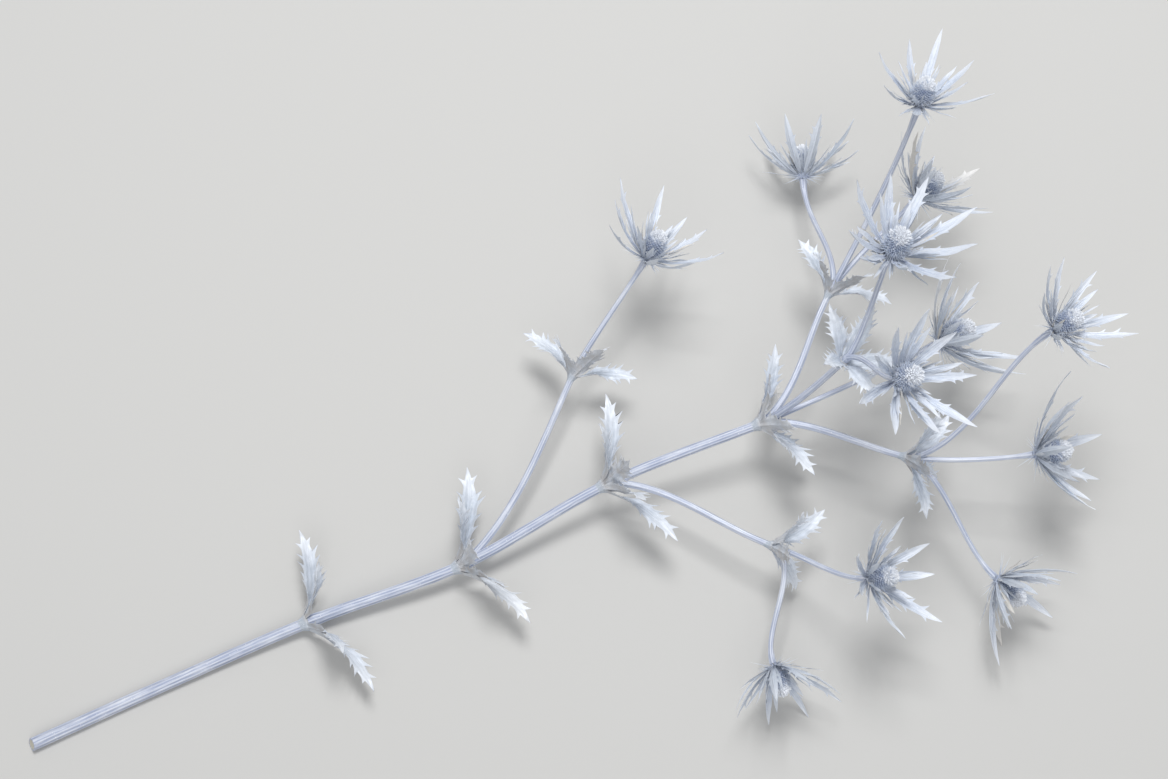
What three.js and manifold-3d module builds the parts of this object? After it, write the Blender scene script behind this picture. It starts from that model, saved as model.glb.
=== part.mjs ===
// A cut stem of sea holly, sprayed silver and lying on a table: a ribbed stem that forks,
// whorls of spiny leaf lobes at its joints, and thistle heads, each a cone in a ruff of bracts.
// Millimetres, +Z up, the tip of the stem towards +Y. The stem lies on the surface z = 0.
import * as THREE from "three";
import { mergeVertices } from "three/addons/utils/BufferGeometryUtils.js";
import Module from "manifold-3d";

const wasm = await Module();
wasm.setup();

// Driving dimensions
const GAP = 0.3; // clear between two pieces that sit against each other
const STEM = { base: 3.7, fork: 2.7, ribs: 6, groove: 0.12, sides: 12, steps: 22 };
const BRANCH = { foot: 2.1, end: 1.8, ribs: 4, groove: 0.1, sides: 8, steps: 6 };
const STALK = { foot: 1.6, end: 1.4, flare: 0.8, ribs: 3, groove: 0.1, sides: 6, steps: 7 };
const CUT_SLANT = 0.45; // how far the cut end leans, as a share of its height
const PRESS = 0.3; // stem surface this near the table is pressed flat on it

const CONE = { radius: 7.2, height: 19, taper: 0.14, around: 14, rows: 8, point: 0.15, lift: 0.9 };
const CUP = { top: 4.6, foot: 2.4, height: 3, sides: 8 };

// Bracts and leaf lobes are blades: thick is at the midrib, fold is how steeply the halves rise
// from it, root and foot are where it starts in the cup or sleeve, and rise and tip are the
// angles above square to the axis at its two ends, in degrees. Teeth lie between two shares of
// the length, reach out past the outline, peak so far into their pitch and lead forward.
const BRACT = {
  count: 9,
  length: 48,
  width: 5.2,
  thick: 0.9,
  fold: 0.32,
  root: 1.6,
  foot: -1.5,
  rise: 22,
  tip: 54,
  teeth: { count: 2, reach: 1.1, notch: 0.88, first: 0.28, last: 0.8, peak: 0.62, lead: 0.3 },
  vary: { lean: 18, width: 0.3, curl: 16, twist: 0.5, length: 0.24, around: 0.22 },
};
const LOBE = {
  length: 44,
  width: 9.5,
  thick: 0.9,
  fold: 0.22,
  rise: 44,
  tip: 12,
  turn: 1.5, // radians by which a lobe at the stem's side turns its face up
  teeth: { count: 3, reach: 2.4, notch: 0.74, first: 0.2, last: 0.84, peak: 0.62, lead: 0.3 },
  vary: { lean: 14, width: 0.2, curl: 20, twist: 0.5 },
};
const SHORT_LOBE = 34; // a lobe under this length has one tooth fewer on each side
const SMALL_HEAD = 0.83; // a head under this size has one bract fewer
const SPINE = {
  radius: 0.55,
  low: { length: 12, root: 1.8, foot: -2.1, rise: -8 },
  raised: { length: 17, root: 3, foot: -1.2, rise: 48 },
  vary: { rise: 14, length: 0.4, around: 0.15 },
};
const SLEEVE = { wall: 1.1, length: 3.6, below: 1.2, bevel: 0.6, sides: 10 };

// The main axis, from the cut end to the fork, as places that it passes.
const AXIS = {
  cut: [-9, -18],
  lain: [-9, 62],
  leaf: [-7, 148, 7],
  low: [1, 236, 14.5],
  high: [-4, 326, 27],
  fork: [4, 416, 41],
};

// Branches and head stalks: each leaves a joint, runs to a place, and ends pointing along yaw
// (degrees from +Y towards +X) and pitch (degrees above level). A head that rests has its
// height from its own lowest bract.
const BRANCHES = {
  left: { from: "fork", to: [-47, 482, 52], yaw: -34, pitch: 10 },
  right: { from: "fork", to: [58, 478, 48], yaw: 40, pitch: 8 },
  upper: { from: "fork", to: [3, 462, 90], yaw: -4, pitch: 52 },
  outer: { from: "high", to: [70, 392, 37], yaw: 46, pitch: 8 },
  lower: { from: "low", to: [-70, 336, 31], yaw: -40, pitch: 10 },
};
const HEADS = {
  head_1: { from: "fork", to: [8, 520, 60], yaw: 3, pitch: 22, size: 1, spin: 0 },
  head_2: { from: "left", to: [-70, 545, 68], yaw: -16, pitch: 26, size: 0.9, spin: 12 },
  head_3: { from: "left", to: [-122, 503], yaw: -66, pitch: 8, size: 0.86, spin: 30, rests: true },
  head_4: { from: "left", to: [-98, 552, 132], yaw: -42, pitch: 60, size: 0.82, spin: 5 },
  head_5: { from: "right", to: [88, 537, 64], yaw: 24, pitch: 24, size: 0.92, spin: 20 },
  head_6: { from: "right", to: [137, 492], yaw: 72, pitch: 8, size: 0.88, spin: 10, rests: true },
  head_7: { from: "right", to: [44, 560, 126], yaw: 8, pitch: 48, size: 0.84, spin: 33 },
  head_8: { from: "upper", to: [-26, 498, 140], yaw: -24, pitch: 72, size: 0.95, spin: 8 },
  head_9: { from: "upper", to: [38, 470, 142], yaw: 52, pitch: 64, size: 0.9, spin: 25 },
  head_10: { from: "outer", to: [112, 424, 68], yaw: 34, pitch: 46, size: 0.85, spin: 3 },
  head_11: { from: "outer", to: [128, 362], yaw: 98, pitch: 8, size: 0.8, spin: 18, rests: true },
  head_12: { from: "lower", to: [-104, 396, 60], yaw: -26, pitch: 44, size: 0.88, spin: 28 },
};

// Leaf lobes at each joint: the way each points round the stem (0 left, 90 up, 180 right,
// 270 down) and its length.
const WHORLS = {
  leaf: [[170, 54], [134, 44], [14, 48], [48, 36]],
  low: [[8, 52], [44, 40], [92, 34], [136, 40], [172, 50]],
  high: [[10, 48], [50, 38], [92, 32], [132, 38], [174, 50]],
  fork: [[18, 42], [62, 34], [118, 34], [162, 44], [222, 36], [318, 36]],
  left: [[352, 34], [58, 30], [128, 32], [196, 34], [268, 30]],
  right: [[350, 34], [44, 32], [122, 30], [188, 34], [270, 30]],
  upper: [[20, 32], [96, 30], [160, 32], [232, 34], [308, 34]],
  outer: [[352, 34], [60, 32], [112, 30], [250, 34]],
  lower: [[352, 36], [60, 30], [120, 32], [184, 34]],
};

const silver = new THREE.MeshStandardMaterial({ color: 0xb9bfce, roughness: 0.5, metalness: 0.1 });
const frosted = new THREE.MeshStandardMaterial({ color: 0xcbd2dd, roughness: 0.55, metalness: 0.1 });
const lilac = new THREE.MeshStandardMaterial({ color: 0xa9afc6, roughness: 0.45, metalness: 0.1 });
const slate = new THREE.MeshStandardMaterial({ color: 0x8f99ad, roughness: 0.7, metalness: 0.05 });

const radians = THREE.MathUtils.degToRad;

// Even draws from 0 to 1 that come out the same each time for the same seed.
function draws(seed) {
  let state = seed * 7919 + 13;
  return () => {
    state = (state * 16807) % 2147483647;
    return state / 2147483647;
  };
}

// A closed geometry as a solid, and solids as one.
function solid(geometry) {
  const bare = geometry.index ? geometry.toNonIndexed() : geometry;
  const places = new THREE.BufferGeometry().setAttribute("position", bare.getAttribute("position"));
  const merged = mergeVertices(places, 1e-4);
  const vertProperties = new Float32Array(merged.attributes.position.array);
  const triVerts = new Uint32Array(merged.index.array);
  return new wasm.Manifold(new wasm.Mesh({ numProp: 3, vertProperties, triVerts }));
}
function fuse(geometries) {
  return geometries.map(solid).reduce((whole, piece) => whole.add(piece));
}
function node(name, whole, material) {
  const { vertProperties, triVerts } = whole.getMesh();
  const geometry = new THREE.BufferGeometry()
    .setAttribute("position", new THREE.BufferAttribute(new Float32Array(vertProperties), 3))
    .setIndex(new THREE.BufferAttribute(new Uint32Array(triVerts), 1));
  geometry.computeVertexNormals();
  const mesh = new THREE.Mesh(geometry, material);
  mesh.name = name;
  return mesh;
}

// The turn to a joint or a head: Z along the growth, X to its left, Y up.
function frameAt(place, along) {
  const left = new THREE.Vector3(0, 0, 1).cross(along).normalize();
  const up = along.clone().cross(left);
  return new THREE.Matrix4().makeBasis(left, up, along).setPosition(place);
}
function heading(yaw, pitch) {
  const [y, p] = [radians(yaw), radians(pitch)];
  return new THREE.Vector3(Math.sin(y) * Math.cos(p), Math.cos(y) * Math.cos(p), Math.sin(p));
}

// A rod that follows a curve: a cylinder whose rings are laid along it. Every other side line
// sinks into a groove, and radius gives its size along it.
function rod(curve, radius, { ribs, groove, sides, steps }) {
  const shape = new THREE.CylinderGeometry(1, 1, 1, sides, steps);
  const points = shape.attributes.position;
  const rings = [];
  let normal = new THREE.Vector3(0, 0, 1);
  for (let i = 0; i <= steps; i++) {
    const along = curve.getTangent(i / steps);
    normal = normal.clone().addScaledVector(along, -normal.dot(along)).normalize();
    rings.push({ place: curve.getPoint(i / steps), normal, side: normal.clone().cross(along) });
  }
  for (let i = 0; i < points.count; i++) {
    const t = points.getY(i) + 0.5;
    const { place, normal: up, side } = rings[Math.round(t * steps)];
    const turn = Math.atan2(points.getZ(i), points.getX(i));
    const reach = Math.hypot(points.getX(i), points.getZ(i));
    const sunk = 1 - groove * (0.5 + 0.5 * Math.cos(ribs * turn));
    const size = radius(t) * reach * sunk;
    const at = place.clone();
    at.addScaledVector(up, size * Math.cos(turn)).addScaledVector(side, size * Math.sin(turn));
    points.setXYZ(i, at.x, at.y, at.z);
  }
  return shape;
}

// A toothed blade that springs from the frame's axis: it starts at radius root and height foot,
// rises at the angle rise and ends at the angle tip. It is thick along its midrib, keeled like
// a shallow V, and sharp at its margins, whose teeth point forward.
function blade({ length, width, thick, fold, root, foot, rise, tip, twist, teeth, outline }) {
  const [a0, bend] = [radians(rise), radians(tip - rise) || 1e-4];
  const centre = (s) => {
    const a = a0 + bend * s;
    const out = root + (length * (Math.sin(a) - Math.sin(a0))) / bend;
    const up = foot + (length * (Math.cos(a0) - Math.cos(a))) / bend;
    return { a, out, up };
  };
  const at = (s, across, lift) => {
    const { a, out, up } = centre(s);
    const [c, t] = [Math.cos(twist * s), Math.sin(twist * s)];
    const [x, n] = [across * c - lift * t, across * t + lift * c];
    return [out - n * Math.sin(a), x, up + n * Math.cos(a)];
  };
  const pitch = (teeth.last - teeth.first) / teeth.count;
  const rings = [{ s: 0, half: outline(0), lead: 0 }];
  for (let k = 0; k < teeth.count; k++) {
    const notch = teeth.first + k * pitch;
    const point = notch + teeth.peak * pitch;
    rings.push({ s: notch, half: outline(notch) * teeth.notch, lead: 0 });
    rings.push({ s: point, half: outline(point) + teeth.reach / width, lead: teeth.lead * pitch });
  }
  const corners = rings.map(({ s, half, lead }) => {
    const reach = half * width;
    return [
      at(s + lead, -reach, fold * reach),
      at(s, 0, thick / 2),
      at(s + lead, reach, fold * reach),
      at(s, 0, -thick / 2),
    ];
  });
  // Upper and lower side are split alike, from each margin place to the next place of the midrib.
  const faces = [];
  const patch = (a, b, c, d) => faces.push(...a, ...b, ...c, ...a, ...c, ...d);
  for (let i = 1; i < corners.length; i++) {
    const [[left, top, right, under], [left2, top2, right2, under2]] = [corners[i - 1], corners[i]];
    patch(left, left2, top2, top);
    patch(right, top, top2, right2);
    patch(right, right2, under2, under);
    patch(left, under, under2, left2);
  }
  const [left, top, right, under] = corners[0];
  patch(under, left, top, right);
  const tipPlace = at(1, 0, 0);
  corners.at(-1).forEach((corner, k, ring) => faces.push(...ring[(k + 1) % 4], ...corner, ...tipPlace));
  const shape = new THREE.BufferGeometry();
  return shape.setAttribute("position", new THREE.BufferAttribute(new Float32Array(faces), 3));
}

// Half outlines, as shares of the full width, along the length s: a bract is widest past its
// middle, and a lobe before it.
const bractOutline = (s) => 0.2 * (1 - s) + 0.42 * Math.sin(Math.PI * s ** 1.16);
const lobeOutline = (s) => 0.22 * (1 - s) + 0.38 * Math.sin(Math.PI * s ** 0.9);

// One blade of a kind, a little unlike the others. A draw less a half, times a spread, lies
// evenly about zero.
function oneOf(kind, draw, own) {
  const spread = (name) => kind.vary[name] * (draw() - 0.5);
  const lean = spread("lean");
  const width = (own.width ?? kind.width) * (1 + spread("width"));
  const tip = kind.tip + lean + spread("curl");
  const twist = (own.twist ?? 0) + spread("twist");
  return blade({ ...kind, ...own, width, rise: kind.rise + lean, tip, twist });
}

// A needle with three sides, from the frame's axis outwards.
function needle(length, root, foot, rise, around) {
  return new THREE.ConeGeometry(SPINE.radius, length, 3)
    .translate(0, length / 2, 0)
    .rotateZ(rise - Math.PI / 2)
    .translate(root, 0, 0)
    .rotateX(Math.PI / 2)
    .translate(0, 0, foot)
    .rotateZ(around);
}

// The ruff of a head: a small cup with its bracts, and fine spines below and between them.
function ruff(size, spin, seed) {
  const draw = draws(seed);
  const cup = new THREE.CylinderGeometry(CUP.top, CUP.foot, CUP.height, CUP.sides);
  const pieces = [cup.rotateX(Math.PI / 2).translate(0, 0, -CUP.height / 2)];
  const count = BRACT.count - (size < SMALL_HEAD ? 1 : 0);
  const step = (2 * Math.PI) / count;
  for (let i = 0; i < count; i++) {
    const around = radians(spin) + i * step + BRACT.vary.around * (draw() - 0.5);
    const length = BRACT.length * (1 + BRACT.vary.length * (draw() - 0.6));
    pieces.push(oneOf(BRACT, draw, { length, outline: bractOutline }).rotateZ(around));
  }
  for (let i = 0; i < count; i++) {
    const around = radians(spin) + (i + 0.5) * step + SPINE.vary.around * (draw() - 0.5);
    const { length, root, foot, rise } = i % 2 ? SPINE.raised : SPINE.low;
    const pitch = radians(rise + SPINE.vary.rise * (draw() - 0.5));
    const reach = length * (1 + SPINE.vary.length * (draw() - 0.5));
    pieces.push(needle(reach, root, foot, pitch, around));
  }
  return pieces.map((piece) => piece.scale(size, size, size));
}

// The cone of a head: an egg whose surface rises in points, set between those of the next row.
function cone(size) {
  const { around, rows, radius, height, taper, point, lift } = CONE;
  const shape = new THREE.SphereGeometry(1, around, rows).rotateX(Math.PI / 2);
  const points = shape.attributes.position;
  const isPoint = (row, column) => (row + column) % 2 === 0 && row > 0 && row < rows;
  for (let i = 0; i < points.count; i++) {
    const raised = isPoint(Math.floor(i / (around + 1)), i % (around + 1));
    const [x, y, z] = [points.getX(i), points.getY(i), points.getZ(i)];
    const girth = radius * (1 - taper * z) * (raised ? 1 + point : 1 - point / 3);
    points.setXYZ(i, x * girth, y * girth, (height / 2) * (1 + z) + (raised ? lift : 0) + GAP / size);
  }
  // Each patch between four places is split from low place to low place, so that points stay sharp.
  const faces = [];
  for (let row = 0; row < rows; row++) {
    for (let column = 0; column < around; column++) {
      const a = row * (around + 1) + column;
      const [b, c, d] = [a + 1, a + around + 1, a + around + 2];
      const split = (row + column) % 2 ? [a, c, d, a, d, b] : [a, c, b, b, c, d];
      if (row === 0) faces.push(a, c, d);
      else if (row === rows - 1) faces.push(a, c, b);
      else faces.push(...split);
    }
  }
  return shape.setIndex(faces).scale(size, size, size);
}

// A whorl: a sleeve round the stem just under a joint, with its leaf lobes.
function whorl(lobes, radius, seed) {
  const draw = draws(seed);
  const inner = (radius + GAP) / Math.cos(Math.PI / SLEEVE.sides);
  const outer = inner + SLEEVE.wall;
  const top = -SLEEVE.below;
  const foot = top - SLEEVE.length;
  const profile = [
    [inner, foot],
    [outer, foot + SLEEVE.bevel],
    [outer, top],
    [inner, top],
    [inner, foot],
  ].map(([r, y]) => new THREE.Vector2(r, y));
  const pieces = [new THREE.LatheGeometry(profile, SLEEVE.sides).rotateX(Math.PI / 2)];
  for (const [around, length] of lobes) {
    const own = {
      length,
      width: LOBE.width * (0.7 + (0.3 * length) / LOBE.length),
      root: inner + SLEEVE.wall / 3,
      foot: (top + foot) / 2,
      twist: -LOBE.turn * Math.cos(radians(around)),
      teeth: { ...LOBE.teeth, count: LOBE.teeth.count - (length < SHORT_LOBE ? 1 : 0) },
      outline: lobeOutline,
    };
    pieces.push(oneOf(LOBE, draw, own).rotateZ(radians(around)));
  }
  return pieces;
}

// The main axis. Its resting stretch lies on the surface on two ribs, which are pressed flat.
const restHeight = STEM.base * Math.cos(Math.PI / STEM.ribs);
const axisPlaces = Object.values(AXIS).map(([x, y, z]) => new THREE.Vector3(x, y, z ?? restHeight));
const axis = new THREE.CatmullRomCurve3(axisPlaces, false, "catmullrom", 0.5);
const stemRadius = (t) => STEM.base + (STEM.fork - STEM.base) * t;
const joints = {};
Object.keys(AXIS).forEach((name, i, all) => {
  const t = i / (all.length - 1);
  joints[name] = { place: axis.getPoint(t), along: axis.getTangent(t), radius: stemRadius(t) };
});

// A branch or stalk leaves its parent's direction little by little.
function grow(from, place, along) {
  const start = joints[from];
  const span = place.clone().sub(start.place);
  const reach = span.length();
  const leave = start.along.clone().multiplyScalar(0.9).add(span.clone().normalize()).normalize();
  return new THREE.CubicBezierCurve3(
    start.place,
    start.place.clone().addScaledVector(leave, reach / 3),
    place.clone().addScaledVector(along, -reach / 3),
    place,
  );
}

const mainStem = rod(axis, stemRadius, STEM);
const stemPoints = mainStem.attributes.position;
for (let i = 0; i < stemPoints.count; i++) {
  const [y, z] = [stemPoints.getY(i), stemPoints.getZ(i)];
  if (y < AXIS.cut[1] + 1) stemPoints.setY(i, AXIS.cut[1] + CUT_SLANT * z);
  if (z < PRESS) stemPoints.setZ(i, 0);
}
const stemPieces = [mainStem];
const meshes = [];

for (const [name, { from, to, yaw, pitch }] of Object.entries(BRANCHES)) {
  const place = new THREE.Vector3(...to);
  const along = heading(yaw, pitch);
  const radius = (t) => BRANCH.foot + (BRANCH.end - BRANCH.foot) * t;
  stemPieces.push(rod(grow(from, place, along), radius, BRANCH));
  joints[name] = { place, along, radius: BRANCH.end };
}

Object.entries(HEADS).forEach(([name, { from, to, yaw, pitch, size, spin, rests }], i) => {
  const along = heading(yaw, pitch);
  const turn = frameAt(new THREE.Vector3(), along);
  const bracts = fuse(ruff(size, spin, i + 1).map((piece) => piece.applyMatrix4(turn)));
  const height = rests ? -bracts.boundingBox().min[2] : to[2];
  const place = new THREE.Vector3(to[0], to[1], height);
  meshes.push(node(`${name}_bracts`, bracts.translate(place.toArray()), frosted));
  meshes.push(node(`${name}_cone`, solid(cone(size).applyMatrix4(turn)).translate(place.toArray()), slate));
  const under = place.clone().addScaledVector(along, -(CUP.height * size + GAP));
  const radius = (t) => STALK.foot + (STALK.end - STALK.foot) * t + STALK.flare * Math.max(0, 7 * t - 6);
  stemPieces.push(rod(grow(from, under, along), radius, STALK));
});

Object.entries(WHORLS).forEach(([name, lobes], i) => {
  const { place, along, radius } = joints[name];
  const turn = frameAt(place, along);
  const pieces = whorl(lobes, radius, i + 41).map((piece) => piece.applyMatrix4(turn));
  meshes.push(node(`leaves_${name}`, fuse(pieces), silver));
});
meshes.push(node("stem", fuse(stemPieces), lilac));

// The part's own frame has its origin on the table under the middle of the stem's whole spread.
const stem = new THREE.Group();
stem.add(...meshes);
const spread = new THREE.Box3().setFromObject(stem);
const middle = spread.getCenter(new THREE.Vector3());
stem.position.set(-middle.x, -middle.y, -spread.min.z);

export default stem;
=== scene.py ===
"""The looks of a cut stem of sea holly, sprayed silver, that lies on a table.

The solids of the frame give each head's place and size. This file grows finer pieces on the same
places by the same rules: a ribbed stem, whorls of spiny leaf lobes, ruffs of toothed bracts with
bristles, and cones packed with florets.
"""
import math
from contextlib import contextmanager

import bpy
import numpy as np
from bpy.props import FloatProperty, FloatVectorProperty, IntProperty, PointerProperty
from bpy.types import Operator, Panel, PropertyGroup
from mathutils import Matrix, Vector


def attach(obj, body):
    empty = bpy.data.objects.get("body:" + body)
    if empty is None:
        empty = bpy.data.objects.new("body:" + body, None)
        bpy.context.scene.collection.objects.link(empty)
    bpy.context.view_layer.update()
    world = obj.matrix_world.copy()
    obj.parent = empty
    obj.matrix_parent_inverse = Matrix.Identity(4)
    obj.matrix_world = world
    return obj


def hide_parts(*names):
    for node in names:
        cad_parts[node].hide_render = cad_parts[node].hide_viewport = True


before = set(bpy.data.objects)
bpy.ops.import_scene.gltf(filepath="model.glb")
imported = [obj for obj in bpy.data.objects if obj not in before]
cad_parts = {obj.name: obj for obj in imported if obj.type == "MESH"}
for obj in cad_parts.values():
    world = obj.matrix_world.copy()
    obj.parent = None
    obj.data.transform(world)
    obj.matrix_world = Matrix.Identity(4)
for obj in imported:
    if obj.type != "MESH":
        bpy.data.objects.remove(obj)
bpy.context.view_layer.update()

bl_info = {
    "name": "Sea Holly Stem",
    "version": (1, 0, 0),
    "blender": (4, 5, 0),
    "location": "View3D > Sidebar > Sea Holly",
    "description": "Grows a sprayed sea holly stem on the solids of its frame",
    "category": "Object",
}

MM = 0.001
TURN = 2 * math.pi
GOLDEN = 3 - math.sqrt(5)  # half turns from one floret to the next

# How the plant grows, in millimetres and degrees, as in its solids. The axis passes the places
# below. Where a place has no height, the stem lies on the table.
GAP = 0.3
STEM_RADIUS = (3.7, 2.7)
STEM_SIDES = 6  # of the solid stem, which lies on one of them
AXIS = {
    "cut": (-9, -18),
    "lain": (-9, 62),
    "leaf": (-7, 148, 7),
    "low": (1, 236, 14.5),
    "high": (-4, 326, 27),
    "fork": (4, 416, 41),
}
# A branch or a head's stalk: the joint it leaves, the place it runs to, and its heading there.
# A head's own height comes from its cone in the frame.
BRANCH_RADIUS = (2.1, 1.8)
STALK_RADIUS = (1.6, 1.4)
BRANCHES = {
    "left": ("fork", (-47, 482, 52), -34, 10),
    "right": ("fork", (58, 478, 48), 40, 8),
    "upper": ("fork", (3, 462, 90), -4, 52),
    "outer": ("high", (70, 392, 37), 46, 8),
    "lower": ("low", (-70, 336, 31), -40, 10),
}
HEADS = {  # joint, yaw, pitch, size, spin
    "head_1": ("fork", 3, 22, 1.0, 0),
    "head_2": ("left", -16, 26, 0.9, 12),
    "head_3": ("left", -66, 8, 0.86, 30),
    "head_4": ("left", -42, 60, 0.82, 5),
    "head_5": ("right", 24, 24, 0.92, 20),
    "head_6": ("right", 72, 8, 0.88, 10),
    "head_7": ("right", 8, 48, 0.84, 33),
    "head_8": ("upper", -24, 72, 0.95, 8),
    "head_9": ("upper", 52, 64, 0.9, 25),
    "head_10": ("outer", 34, 46, 0.85, 3),
    "head_11": ("outer", 98, 8, 0.8, 18),
    "head_12": ("lower", -26, 44, 0.88, 28),
}
HEAD_1_PLACE = (8, 520, 60)  # before the plant was moved to the middle of the frame
SMALL_HEAD = 0.83  # a head below this size has one bract fewer
WHORLS = {  # the way round the stem and the length of each lobe
    "leaf": ((170, 54), (134, 44), (14, 48), (48, 36)),
    "low": ((8, 52), (44, 40), (92, 34), (136, 40), (172, 50)),
    "high": ((10, 48), (50, 38), (92, 32), (132, 38), (174, 50)),
    "fork": ((18, 42), (62, 34), (118, 34), (162, 44), (222, 36), (318, 36)),
    "left": ((352, 34), (58, 30), (128, 32), (196, 34), (268, 30)),
    "right": ((350, 34), (44, 32), (122, 30), (188, 34), (270, 30)),
    "upper": ((20, 32), (96, 30), (160, 32), (232, 34), (308, 34)),
    "outer": ((352, 34), (60, 32), (112, 30), (250, 34)),
    "lower": ((352, 36), (60, 30), (120, 32), (184, 34)),
}
CUP = ((0, -3), (2.4, -3), (2.9, -2.25), (3.9, -1.05), (4.6, -0.3), (4.2, 0), (0, 0.05))
CUP_HEIGHT = 3.0
SHEATH = {"wall": 1.1, "length": 3.6, "below": 1.2, "sides": 10}
BRACT = {
    "count": 9, "length": 48, "width": 5.2, "fold": 0.32, "root": 1.6, "foot": -1.5,
    "rise": 22, "tip": 54, "wave": (0.1, 0.45),
    "vary": {"lean": 18, "width": 0.3, "curl": 16, "twist": 0.5, "length": 0.24, "around": 0.22},
}
LOBE = {
    "length": 44, "width": 9.5, "fold": 0.22, "rise": 44, "tip": 12, "turn": 1.5,
    "wave": (0.3, 1.0),
    "vary": {"lean": 14, "width": 0.2, "curl": 20, "twist": 0.5},
}

# What only the finer pieces have, in millimetres and degrees where no other unit is named.
AXIS_LENGTH = 0.44  # metres along its curve
AXIS_SWELLING = 3.2  # reach of a joint's swelling along the main stem
BRANCH_SWELLING = 0.05  # the same as a share of a branch's length
STALK_FLARE = 0.8  # how much a stalk widens over its last seventh, under its head
BRANCH_ROD = {"ribs": 7, "groove": 0.17, "sides": 28, "rings": 60}
STALK_ROD = {"ribs": 6, "groove": 0.17, "sides": 24, "rings": 56}
RIB_TURN = 1.4  # radians that the ribs wind round a rod
GROOVE_POWER = 1.4  # the higher, the narrower the grooves
CUT = {"lean": 0.45, "reach": 9, "rims": (0.16, 0.12), "heart": 0.8}
SHEATH_SWELL = {"out": 0.16, "waist": 0.06, "width": 0.32}
KNOB = ((0, -1.2), (0.8, -0.9), (1, -0.2), (0.96, 0.3), (0.7, 0.68), (0.3, 0.84), (0, 0.86))

# The blades. A grid counts the faces across and along one. Teeth stand between two shares of its
# length, and their reach is a share of the one that the user may change.
TOOTH = {"rows": 3.2, "power": 2.2, "pull": 5, "lead": 0.85}
MIDRIB = 0.55  # half the width over which a blade is thick
RIPPLE = 7  # from one raised part between the veins to the next
WAVES = 2.1  # that a margin makes from foot to tip
LOBE_GRID, BRACT_GRID = (10, 56), (8, 56)
LOBE_TEETH = (0.16, 0.9)
LOBE_SEEDS = (3, 5, 8)
BRACT_PUCKER = 0.1
BRACT_SHAPES = (  # how many teeth fewer than most, from where to where, their reach, a seed
    (0, 0.28, 0.82, 1.0, 11),
    (1, 0.3, 0.7, 0.75, 12),
    (1, 0.34, 0.66, 0.55, 14),
    (2, 0.36, 0.6, 0.5, 15),
    (1, 0.56, 0.86, 0.8, 18),
)
INNER_BRACT = {
    "teeth": (1, 0.35, 0.65), "reach": 0.7, "grid": (6, 34), "seed": 16,
    "width": (2.8, 4.0), "length": (25, 37), "rise": (32, 46), "white": 0.0,
}
NARROW_BRACT = {
    "teeth": (0, 0, 1), "reach": 0.0, "grid": (2, 11), "seed": 17,
    "width": (1.0, 1.9), "length": (14, 31), "rise": (5, 60), "white": 0.8,
}
LESSER = {"root": 2.8, "foot": -1.4, "curl": (0, 26), "twist": (-0.5, 0.5)}  # both kinds
BRISTLE = {
    "length": (0.5, 1.4), "radius": (0.28, 0.42), "rise": (-34, 24), "sag": (-0.6, 1.6),
    "root": 2.6, "foot": -2.4, "climb": 1.4,
}

# The cones.
CONE_SWELL = 0.14  # how much fuller a cone is below its middle
CROWN = 0.67  # share of a cone's height from which its florets whiten
CROWN_EDGE = 0.16  # share of its height over which they do
FLORET = {  # what the crown adds to its size, how deep it sits, and how few of the crown stay dull
    "size": 0.54, "crown": 0.48, "vary": (0.85, 1.15), "shape": (0.74, 0.74, 1.45), "sides": 10,
    "sunk": 0.3, "climb": 0.3, "lean": (-0.3, 0.3), "dull": 0.12, "dulled": 0.2,
}
SPIKE = {  # two under each floret, the shorter the higher up
    "shape": (0.28, 0.22), "longest": 1.1, "less": 0.66, "vary": (0.7, 1.2), "white": 0.75,
    "sway": (0.05, 0.4), "climb": (0.15, 0.9), "aside": 0.38, "below": 0.5,
}

SEEDS = {"whorls": 41, "ruffs": 101, "cones": 301}
BLADE_MARKS = ("along", "edge", "under", "tone")
GRIT_COLOUR = (0.30, 0.34, 0.38)
DROP_COLOUR = (0.93, 0.94, 0.96)

KEY_LIGHT = ("AREA", (-0.5, 0.35, 1.8), {"energy": 22, "size": 0.6})
FILL_LIGHT = ("SUN", (1.0, -0.6, 1.6), {"energy": 0.62, "angle": math.radians(45)})
ROOM_COLOUR = (0.95, 0.97, 1.0, 1)
ROOM_STRENGTH = 0.45
PICTURE_ASPECT = 779 / 1168
SENSOR_WIDTH = 36
TABLE_SIZE = 9  # metres


# ---------------------------------------------------------------- sizes and colours to change


def a_count(name, description, default):
    return IntProperty(name=name, description=description, default=default, min=0)


def a_length(name, description, millimetres):
    return FloatProperty(
        name=name, description=description, default=millimetres * MM, min=0, unit="LENGTH"
    )


def a_share(name, description, default):
    return FloatProperty(
        name=name, description=description, default=default, min=0, max=1, subtype="FACTOR"
    )


def an_angle(name, description, degrees):
    return FloatProperty(
        name=name, description=description, default=math.radians(degrees), subtype="ANGLE"
    )


def a_colour(name, description, default):
    return FloatVectorProperty(
        name=name, description=description, default=default, min=0, max=1, subtype="COLOR"
    )


class SEAHOLLY_PG_head(PropertyGroup):
    bract_thickness: a_length("Bract thickness", "Thickness along the midrib", 0.6)
    bract_teeth: a_count("Bract teeth", "Most spiny teeth on a side", 3)
    tooth_reach: a_length("Tooth reach", "How far a bract's teeth stand out", 2.5)
    inner_bracts: a_count("Inner bracts", "Shorter, steeper bracts between the main ones", 7)
    narrow_bracts: a_count("Narrow bracts", "Thin white bracts among the main ones", 38)
    bristles: a_count("Bristles", "Fine bristles under a head", 28)
    bristle_length: a_length("Bristle length", "Length of a middling bristle", 12)
    florets: a_count("Florets", "Florets on a cone", 340)
    cone_radius: a_length("Cone radius", "Radius of the cone under its florets", 6.0)
    cone_height: a_length("Cone height", "Height of the cone under its florets", 18)
    spike_length: a_length("Spike length", "Length of a floret's lower spikes", 5.2)


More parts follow.
